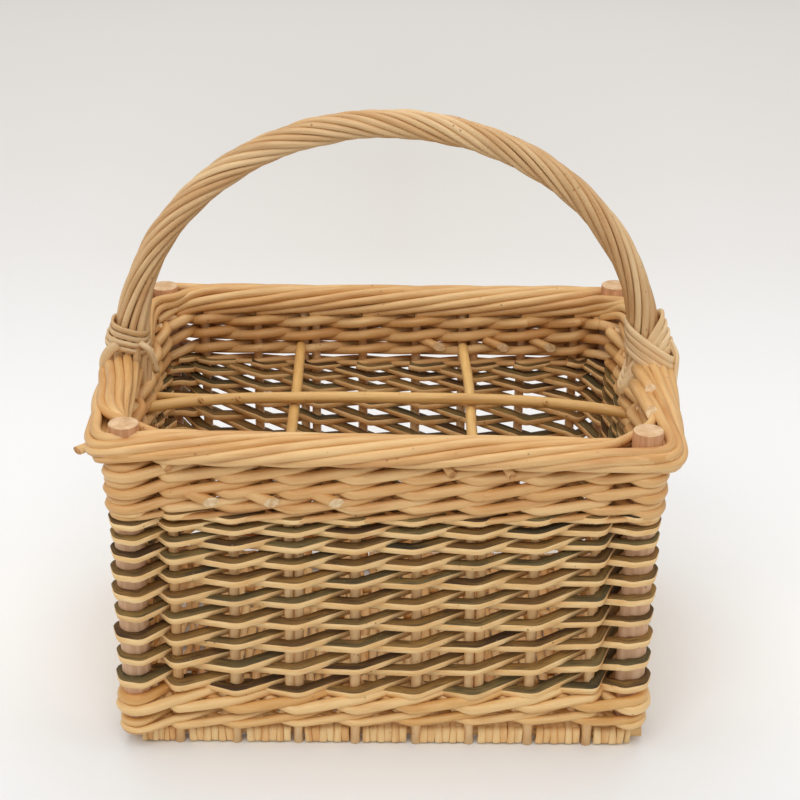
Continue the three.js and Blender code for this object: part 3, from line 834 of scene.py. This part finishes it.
def flare(share):
    """The roping spreads towards its feet, and more so at the left one."""
    near = max(FOOT_SHARE, min(share, 1 - share))
    size = LEFT_FLARE if share < 0.5 else RIGHT_FLARE
    return 1 + size * max(0.0, 1 - near / FLARE_SHARE) ** FLARE_POWER


# Under the bindings the roping draws in and goes down into the middle of the border
FOOT_DRAW_SHARE = 0.075
FOOT_NARROWING = 0.5
FOOT_SHIFT = 5.0
# Each rod wanders in and out: how far, and how its waves follow the bow and the rod's number
WANDER = 0.3
WANDER_WAVES = 21
WANDER_STEP = 2.3

roping = Rods()
for rod in range(ROPING_RODS):
    points = []
    for i in range(ROPING_SAMPLES + 1):
        share = i / ROPING_SAMPLES
        ahead = bow_point(min(1, share + NEXT_SHARE)) - bow_point(max(0, share - NEXT_SHARE))
        ahead.normalize()
        outward = Vector((-ahead.z, 0, ahead.x))
        angle = (rod / ROPING_RODS - twist(share)) * math.tau
        drawn = max(0.0, 1 - min(share, 1 - share) / FOOT_DRAW_SHARE)
        wander = WANDER * math.sin(share * WANDER_WAVES + rod * WANDER_STEP)
        loose = (ROPING_REACH + wander) * flare(share) * (1 - FOOT_NARROWING * drawn)
        foot_shift = Vector((math.copysign(FOOT_SHIFT * drawn, share - 0.5), 0, 0))
        points.append(bow_point(share) + foot_shift + outward * math.cos(angle) * loose
                      + Vector((0, math.sin(angle) * loose, 0)))
    bulk = luck.uniform(0.9, 1.1)
    swells = [flare(i / FLARE_STEPS) ** ROD_FLARE_POWER for i in range(FLARE_STEPS + 1)]
    radii = [ROPING_ROD_RADIUS * bulk * swell for swell in swells]
    roping.add(points, radii, radii, upwards=None)
keep(roping.build("handle_roping_rods", handle_buff, fresh_cut), "handle_willow", "handle_roping")


SQUARENESS = 0.7
TURN_STEPS = 24
TURN_START = 0.4


def squared(value):
    """Pulls a round turn towards a square one with round corners."""
    return math.copysign(abs(value) ** SQUARENESS, value)


def wound_turn(rods, left, right, reach, half_thickness, half_width):
    """One turn round a foot of the handle: left and right are its (x, height) at the two sides."""
    middle_x, half_x = (left[0] + right[0]) / 2, (right[0] - left[0]) / 2
    middle_z, half_z = (left[1] + right[1]) / 2, (right[1] - left[1]) / 2
    spots = []
    for k in range(TURN_STEPS + 1):
        angle = k / TURN_STEPS * math.tau + TURN_START
        share = squared(math.cos(angle))
        spots.append(Vector((middle_x + half_x * share, reach * squared(math.sin(angle)),
                             middle_z + half_z * share)))
    rods.add(smooth_through(spots, 4), [half_thickness], [half_width], FLAT_SECTION)


# Left foot: flat split willow wound round four times, with its ends led down into the border
BINDING_TURNS = 4
BINDING_PITCH = 4.4
# (x, height) of the lowest turn's outer and inner side, how far in the next turn's outer side lies, how
# much looser every other turn is, and a turn's reach before and behind the bow
OUTER_SIDE = (-186.2, 238.4)
INNER_SIDE = (-158.6, 231.6)
BINDING_DRAW = 1.7
BINDING_SWELL = 0.4
BINDING_REACH = 11.4
OUTER_LEG = [(-177.0, -11.2, 239.0), (-183.6, -12.2, 234.0), (-187.0, -12.6, 225.0), (-184.5, -12.0, 212.0)]
INNER_LEG = [(-163.0, -11.0, 240.0), (-156.5, -13.0, 235.0), (-152.5, -11.5, 219.0)]
binding = Rods()
for turn in range(BINDING_TURNS):
    swell = BINDING_SWELL * (turn % 2)
    climb = turn * BINDING_PITCH
    left = (OUTER_SIDE[0] - swell + turn * BINDING_DRAW, OUTER_SIDE[1] + climb)
    right = (INNER_SIDE[0] + swell, INNER_SIDE[1] + climb)
    wound_turn(binding, left, right, BINDING_REACH + swell, half_thickness=1.0, half_width=2.0)
for half_width, leg in ((3.4, OUTER_LEG), (2.2, INNER_LEG)):
    route = smooth_through([Vector(p) for p in leg], 6)
    binding.add(route, [1.1], [half_width], FLAT_SECTION, Vector((1, 0, 0)))
keep(binding.build("handle_binding_left_bands", left_binding_buff, fresh_cut), "handle_willow",
     "handle_binding_left")

# Right foot: two sets of four thin rods, wound slantwise over each other
CROSSING_RODS = 4
# Each set: (x, height) of its first turn's left and right side, each with its step from turn to turn, the
# reach before and behind the bow, and half a rod's width
CROSSING_SETS = [((158.6, 218.0), (-1.3, -4.2), (180.5, 258.4), (2.3, -6.4), 11.0, 3.1),
                 ((157.4, 252.5), (0.3, -5.3), (190.2, 228.6), (0.3, -5.3), 14.0, 2.5)]
CROSSING_END = [(185.5, -6.0, 243.0), (190.5, -9.0, 232.0), (190.0, -11.5, 214.0)]
crossing = Rods()
for rod in range(CROSSING_RODS):
    for left, left_step, right, right_step, reach, half_width in CROSSING_SETS:
        left = (left[0] + rod * left_step[0], left[1] + rod * left_step[1])
        right = (right[0] + rod * right_step[0], right[1] + rod * right_step[1])
        wound_turn(crossing, left, right, reach, half_thickness=1.3, half_width=half_width)
crossing.add(smooth_through([Vector(p) for p in CROSSING_END], 6), [1.7], [2.3])
keep(crossing.build("handle_binding_right_rods", right_binding_buff, fresh_cut), "handle_willow",
     "handle_binding_right_under", "handle_binding_right_over")

# The bow inside the roping stays as it is in the frame, with a finish of its own
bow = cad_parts["handle_bow"]
bow.data.materials.clear()
bow.data.materials.append(bow_wood)


# Posts and stakes

POST_EASE = 0.9


def deselect():
    bpy.ops.object.select_all(action="DESELECT")


def turned_post(name, centre, foot, top):
    """A thick straight stick with eased ends."""
    deselect()
    bpy.ops.mesh.primitive_cone_add(vertices=32, radius1=POST_RADIUS * MM, radius2=POST_RADIUS * MM,
                                    depth=(top - foot) * MM)
    piece = bpy.context.object
    piece.name = name
    piece.data.name = name
    piece.data.materials.append(post_wood)
    piece.data.materials.append(post_top)
    for face in piece.data.polygons:
        face.material_index = 1 if abs(face.normal.z) > 0.9 else 0
    bevel = piece.modifiers.new("eased edge", "BEVEL")
    bevel.width = POST_EASE * MM
    bevel.segments = 2
    bevel.limit_method = "ANGLE"
    bpy.ops.object.modifier_apply(modifier=bevel.name)
    bpy.ops.object.shade_smooth_by_angle(angle=math.radians(40))
    piece.data.transform(Matrix.Translation((centre.x * MM, centre.y * MM, (foot + top) / 2 * MM)))
    for vertex in piece.data.vertices:
        spot = leaned(centre.x, centre.y, vertex.co.z / MM)
        vertex.co.x += (spot.x - centre.x) * MM
    return piece


# Two of the posts are sawn a little longer
POST_RISES = {"front_left": 2.0, "back_right": 3.5}
# Their feet end inside the lower waling
POST_FOOT_RISE = 4.5
for _, corner, _ in WALLS.values():
    node = f"corner_post_{corner}"
    low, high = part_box(node)
    top = high.z / MM + POST_RISES.get(corner, 0.0)
    foot = low.z / MM + POST_FOOT_RISE
    keep(turned_post(f"{node}_turned", middle_of(node), foot, top), "peeled_post", node)

STAKE_HEAD = 212.0
STAKE_FOOT = 0.2
PARTNER_FOOT = 28.0
# Radius at the foot and at the head, of a single stake and of a doubled one's rods
SINGLE_RADII = (3.7, 3.2)
DOUBLED_RADII = (3.4, 3.1)
STAKE_LEAN = 0.6
STAKE_SPANS = 12
# Each doubled stake: how far aside, and how high, the feet of its two rods are
DOUBLED_STAKES = {
    3: [(-4.2, PARTNER_FOOT), (4.0, STAKE_FOOT)],
    6: [(-4.2, STAKE_FOOT), (4.0, PARTNER_FOOT)],
}
# The feet of the front stakes, and of the longer rod of a doubled one, stand this far aside of their heads
FRONT_FEET = (-1.8, -2.7, -4.2, 0.0, 2.2, 2.8, -1.4, 0.0)
stakes_mesh = Rods()
stake_nodes = []
for wall, (outward, _, stakes) in WALLS.items():
    for number in range(1, stakes + 1):
        node = f"stake_{wall}_{number}"
        stake_nodes.append(node)
        centre = middle_of(node)
        # A doubled stake has a partner whose foot is cut off inside the waling
        rods_here = [(0.0, STAKE_FOOT)]
        radii = SINGLE_RADII
        if not outward.x and number in DOUBLED_STAKES:
            rods_here = DOUBLED_STAKES[number]
            radii = DOUBLED_RADII
        for aside, foot_height in rods_here:
            lean = scattered(STAKE_LEAN)
            drawn = FRONT_FEET[number - 1] if wall == "front" and foot_height == STAKE_FOOT else 0.0
            foot = leaned(centre.x + aside + lean + drawn, centre.y, foot_height)
            head = leaned(centre.x + aside - lean, centre.y, STAKE_HEAD)
            route = [foot.lerp(head, t / STAKE_SPANS) for t in range(STAKE_SPANS + 1)]
            stakes_mesh.add(route, radii, radii, upwards=Vector((0, 1, 0)))
keep(stakes_mesh.build("stake_rods", stake_buff, fresh_cut), "stake_willow", *stake_nodes)


# Base: sticks along the basket, woven over from front to back with flat turns round the outer sticks

STICK_ROWS = 7
STICK_HEIGHT = 6.6
OUTER_STICK_Y = 110.0
OUTER_STICK_RADIUS = 3.9
INNER_STICK_RADIUS = 3.4
stick_rows = [OUTER_STICK_Y * (2 * i / (STICK_ROWS - 1) - 1) for i in range(STICK_ROWS)]
TURNS_IN_A_GAP = 6
TURNS_AT_AN_END = 4
NARROW_GAP = 30
# A weaver keeps this far from the middle of a stake, and this high above the table
STAKE_SIDE = 4.6
TABLE_CLEARANCE = 0.6
WEAVER_THICKNESS = 1.3
# Shares of its width from end to end: a weaver flattens out in the middle, so that it lies close there too
WIDTH_SHARES = (1.0, 1.0, 1.16, 1.24, 1.16, 1.0, 1.0)
MAT_HALF_LENGTH = 161.0
LEFT_OVERHANG = 3.0
RIGHT_OVERHANG = 1.0
# The inner sticks' ends, and the outer sticks', which are longer
INNER_STICK_ENDS = (-157, 157)
OUTER_STICK_ENDS = (-168, 169.5)
SLANT = 0.35
WEAVER_BULKS = (0.98, 1.1)
# A cut strip stands before the right end of the front stick
CUT_STRIP = [(159.8, -115.6, 1.0), (159.9, -115.9, 6.0), (160.1, -115.4, 12.0)]
CUT_STRIP_HALF_WIDTH = 1.9

# A turn round an outer stick: share of the slant, distance outwards from the stick's middle, and share of
# the reach, counted away from the weaver's own side
TURN_SHAPE = [(1.0, -3.6, 0.96), (1.0, 4.4, 1.0), (0.8, 7.5, 0.74), (0.0, 8.3, 0.0), (-0.8, 8.0, -0.8),
              (-1.0, 5.0, -0.96)]


def weaver_places():
    """Where the weavers lie along the base: side by side between the feet of the stakes."""
    front_stakes = [here.centre.x for here in uprights[1:9]]
    feet = [-MAT_HALF_LENGTH - LEFT_OVERHANG, *front_stakes, MAT_HALF_LENGTH + RIGHT_OVERHANG]
    for left, right in zip(feet, feet[1:]):
        turns = TURNS_IN_A_GAP if right - left > NARROW_GAP else TURNS_AT_AN_END
        width = (right - left - 2 * STAKE_SIDE) / turns
        for turn in range(turns):
            yield left + STAKE_SIDE + width * (turn + 0.5), width


def base_stick(rods, y, ends, samples, radius):
    """One stick of the base, along the basket."""
    rods.add([Vector((x, y, STICK_HEIGHT)) for x in np.linspace(*ends, samples)], [radius], [radius])


base = Rods()
for y in stick_rows[1:-1]:
    base_stick(base, y, INNER_STICK_ENDS, 14, INNER_STICK_RADIUS)
places = list(weaver_places())
for count, (x, width) in enumerate(places):
    over = 1 if count % 2 else -1
    reach = OUTER_STICK_RADIUS + WEAVER_THICKNESS
    # Between the outer sticks the weavers spread evenly, past the feet of the stakes too
    inner_x = MAT_HALF_LENGTH * (2 * (count + 0.5) / len(places) - 1)
    slant = scattered(SLANT)
    points = []
    for row, y in enumerate(stick_rows):
        side = over if row % 2 == 0 else -over
        outwards = -1 if row == 0 else 1
        here_x = x if row in (0, STICK_ROWS - 1) else inner_x + slant * (1 if row % 2 else -1)
        # Flat turns round the outer sticks: under or over, up the face and back
        around = [Vector((x - slant * share, y + outwards * away, STICK_HEIGHT - side * reach * height))
                  for share, away, height in TURN_SHAPE]
        if row == 0:
            points += around
        points.append(Vector((here_x, y, STICK_HEIGHT + side * reach)))
        if row == STICK_ROWS - 1:
            points += reversed(around)
    half_width = width / 2 * luck.uniform(*WEAVER_BULKS)
    route = smooth_through(points, 4)
    for point in route:
        point.z = max(point.z, WEAVER_THICKNESS + TABLE_CLEARANCE)
    widths = [half_width * share for share in WIDTH_SHARES]
    base.add(route, [WEAVER_THICKNESS], widths, FLAT_SECTION, Vector((1, 0, 0)))
base.add([Vector(p) for p in CUT_STRIP], [WEAVER_THICKNESS], [CUT_STRIP_HALF_WIDTH], FLAT_SECTION,
         Vector((1, 0, 0)))
keep(base.build("base_weavers", base_buff, fresh_cut), "buff_willow", "base_mat")

sticks = Rods()
for y in (stick_rows[0], stick_rows[-1]):
    base_stick(sticks, y, OUTER_STICK_ENDS, 20, OUTER_STICK_RADIUS)
keep(sticks.build("base_sticks", buff, fresh_cut), "buff_willow", "base_stick_front", "base_stick_back")


# Dividers: one long rod over two cross rods, and a thin spare rod at the left

LONG_ROD = [(-163, -8.5, 191.5), (-135, -3, 193.6), (-103, 0, 195.0), (-62, 0, 196.2), (-20, 0.4, 196.6),
            (20, -0.2, 196.6), (55, 0, 196.2), (95, 0, 194.8), (135, -3, 192.2), (163, -8.5, 190.0)]
LONG_ROD_RADII = [3.9, 4.1, 4.0, 3.9]
SPARE_ROD = [(-162, 8, 193.0), (-150, 5.5, 194.0), (-135, 4.0, 194.4), (-118, 3.6, 194.6)]
SPARE_ROD_RADII = [2.8, 2.0]
# Cut side shoots along the long rod, and the steps from there to a shoot's root and to its tip
SIDE_SHOOTS = [(-124.0, -1.7, 194.5), (-99.0, 0.0, 195.2), (106.5, -0.8, 194.4)]
SHOOT_STEPS = [(-1.2, -3.2, 1.2), (0.0, -4.2, 1.7)]
# The cross rods' ends at the front and at the back wall, and their radius
CROSS_RODS = [(-62.0, -63.5), (58.5, 53.2)]
CROSS_ROD_RADIUS = 3.6
# A cross rod's route: the share of the way from its front end to its back end, its y and its height
CROSS_ROUTE = [(0.0, -HALF_WIDTH, 178.0), (0.0, -109.0, 185.6), (0.0, -99.0, 187.8), (0.5, -35.0, 188.3),
               (0.5, 35.0, 188.2), (1.0, 99.0, 187.6), (1.0, 109.0, 185.4), (1.0, HALF_WIDTH, 178.0)]

dividers = Rods()
for route, radii in ((LONG_ROD, LONG_ROD_RADII), (SPARE_ROD, SPARE_ROD_RADII)):
    dividers.add(smooth_through([Vector(p) for p in route], 6), radii, radii)
for x, y, z in SIDE_SHOOTS:
    stub = [Vector((x + along, y + away, z + rise)) for along, away, rise in SHOOT_STEPS]
    dividers.add(stub, [2.6, 1.9], [1.9, 1.3], upwards=None)
keep(dividers.build("divider_long_rods", divider_buff, weathered_cut), "divider_willow",
     "long_rod", "spare_rod")

cross = Rods()
for front_x, back_x in CROSS_RODS:
    route = [Vector((front_x + (back_x - front_x) * share, y, height)) for share, y, height in CROSS_ROUTE]
    cross.add(smooth_through(route, 8), [CROSS_ROD_RADIUS], [CROSS_ROD_RADIUS])
keep(cross.build("divider_cross_rods", divider_buff, fresh_cut), "divider_willow",
     "cross_rod_left", "cross_rod_right")


# Table, light and camera

TABLE_SIZE = 12.0
deselect()
bpy.ops.mesh.primitive_plane_add(size=1)
floor = bpy.context.object
floor.name = "table"
floor.data.transform(Matrix.Diagonal((TABLE_SIZE, TABLE_SIZE, 1.0, 1.0)))
floor.data.materials.append(pale_table("pale table"))


def softbox(name, place, aim, width, height, power, tint):
    light = bpy.data.lights.new(name, "AREA")
    light.shape = "RECTANGLE"
    light.size = width
    light.size_y = height
    light.energy = power
    light.color = tint
    lamp = bpy.data.objects.new(name, light)
    lamp.location = place
    lamp.rotation_euler = (Vector(aim) - Vector(place)).to_track_quat("-Z", "Y").to_euler()
    bpy.context.scene.collection.objects.link(lamp)


# Each softbox: its place, what it faces, its width, height and power, and its tint
SOFTBOXES = {
    "key softbox": ((-0.2, -1.4, 2.0), (0, 0, 0.15), 1.6, 1.2, 18.4, (1.0, 0.975, 0.945)),
    "left softbox": ((-1.7, -0.4, 1.3), (0, 0, 0.15), 1.2, 1.2, 6.6, (1.0, 0.98, 0.95)),
    "right softbox": ((1.7, -0.4, 1.3), (0, 0, 0.15), 1.2, 1.2, 6.2, (1.0, 0.98, 0.95)),
    "top softbox": ((0.0, 0.5, 2.2), (0, 0, 0.1), 1.6, 1.6, 15.4, (1.0, 0.99, 0.97)),
}
for name, settings in SOFTBOXES.items():
    softbox(name, *settings)

world = bpy.data.worlds.new("studio")
bpy.context.scene.world = world
world.use_nodes = True
background = world.node_tree.nodes["Background"]
background.inputs["Color"].default_value = (1.0, 0.985, 0.965, 1.0)
background.inputs["Strength"].default_value = 0.42

CAMERA_LENS = 91.59
CAMERA_PLACE = (0.0104, -1.2384, 0.7735)
CAMERA_ANGLES = (25.041, -0.096, 0.433)
camera_data = bpy.data.cameras.new("camera")
camera_data.lens = CAMERA_LENS
camera_data.sensor_width = 36.0
camera_data.clip_end = 50.0
camera = bpy.data.objects.new("camera", camera_data)
pitch, yaw, roll = (math.radians(angle) for angle in CAMERA_ANGLES)
forward = Vector((math.sin(yaw) * math.cos(pitch), math.cos(yaw) * math.cos(pitch), -math.sin(pitch)))
level = Vector((math.cos(yaw), -math.sin(yaw), 0))
above = level.cross(forward)
right = level * math.cos(roll) + above * math.sin(roll)
above = above * math.cos(roll) - level * math.sin(roll)
turned = Matrix((right, above, -forward)).transposed().to_4x4()
camera.matrix_world = Matrix.Translation(CAMERA_PLACE) @ turned
bpy.context.scene.collection.objects.link(camera)
bpy.context.scene.camera = camera
bpy.context.scene.view_settings.view_transform = "Standard"
